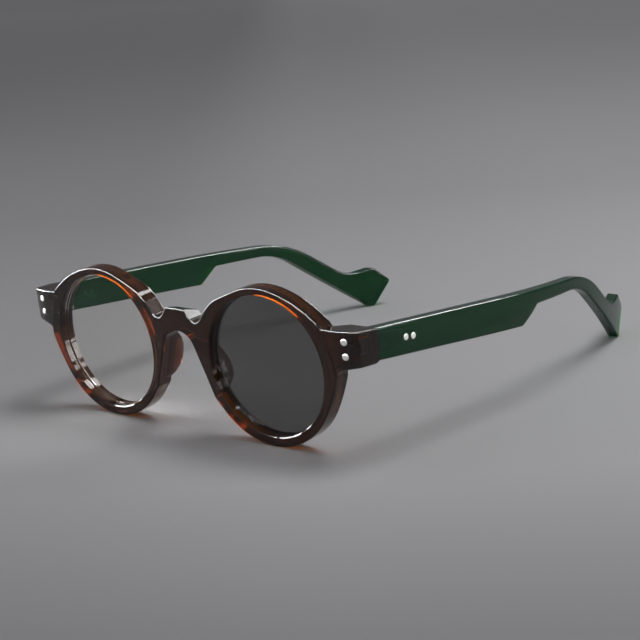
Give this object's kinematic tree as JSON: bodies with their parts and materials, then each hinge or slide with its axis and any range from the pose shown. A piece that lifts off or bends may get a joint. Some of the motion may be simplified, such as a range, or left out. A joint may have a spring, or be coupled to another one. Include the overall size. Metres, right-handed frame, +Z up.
{
  "type": "round acetate sunglasses",
  "caption": "Round acetate sunglasses with dark brown riveted front, keyhole-style notched bridge, glass lenses and green folding temples with forked tips.",
  "frame": {"origin": "on the floor, under the middle of the overall box", "axes": "+X to the wearer's left, +Y back along the temples, +Z up"},
  "size_m": [0.1358, 0.1564, 0.0459],
  "materials": {
    "acetate_brown": "tumble-polished cellulose acetate, very dark brown, amber where it is thin",
    "acetate_green": "tumble-polished cellulose acetate, deep translucent green",
    "lens_clear": "polished, clear",
    "lens_grey": "polished, neutral grey tint",
    "hinge_steel": "nickel-silver, finely brushed",
    "rivet_silver": "polished flush with the acetate"
  },
  "bodies": {
    "front": {"front": "acetate_brown", "lens_left": "lens_grey", "lens_right": "lens_clear", "nose_pad_left": "acetate_brown", "nose_pad_right": "acetate_brown", "front_hinge_leaf_left": "hinge_steel", "front_hinge_leaf_right": "hinge_steel", "hinge_screw_left": "hinge_steel", "hinge_screw_right": "hinge_steel", "front_rivets_left": "rivet_silver", "front_rivets_right": "rivet_silver"},
    "temple_left": {"temple_left": "acetate_green", "temple_hinge_leaf_left": "hinge_steel", "temple_rivets_left": "rivet_silver"},
    "temple_right": {"temple_right": "acetate_green", "temple_hinge_leaf_right": "hinge_steel", "temple_rivets_right": "rivet_silver"}
  },
  "joints": [
    {"name": "fold_left", "type": "hinge", "parent": "front", "child": "temple_left", "pos_m": [0.0583, -0.0662, 0.0312], "axis": [0, 0, 1], "range_deg": [0, 91]},
    {"name": "fold_right", "type": "hinge", "parent": "front", "child": "temple_right", "pos_m": [-0.0583, -0.0662, 0.0312], "axis": [0, 0, -1], "range_deg": [0, 84]}
  ]
}
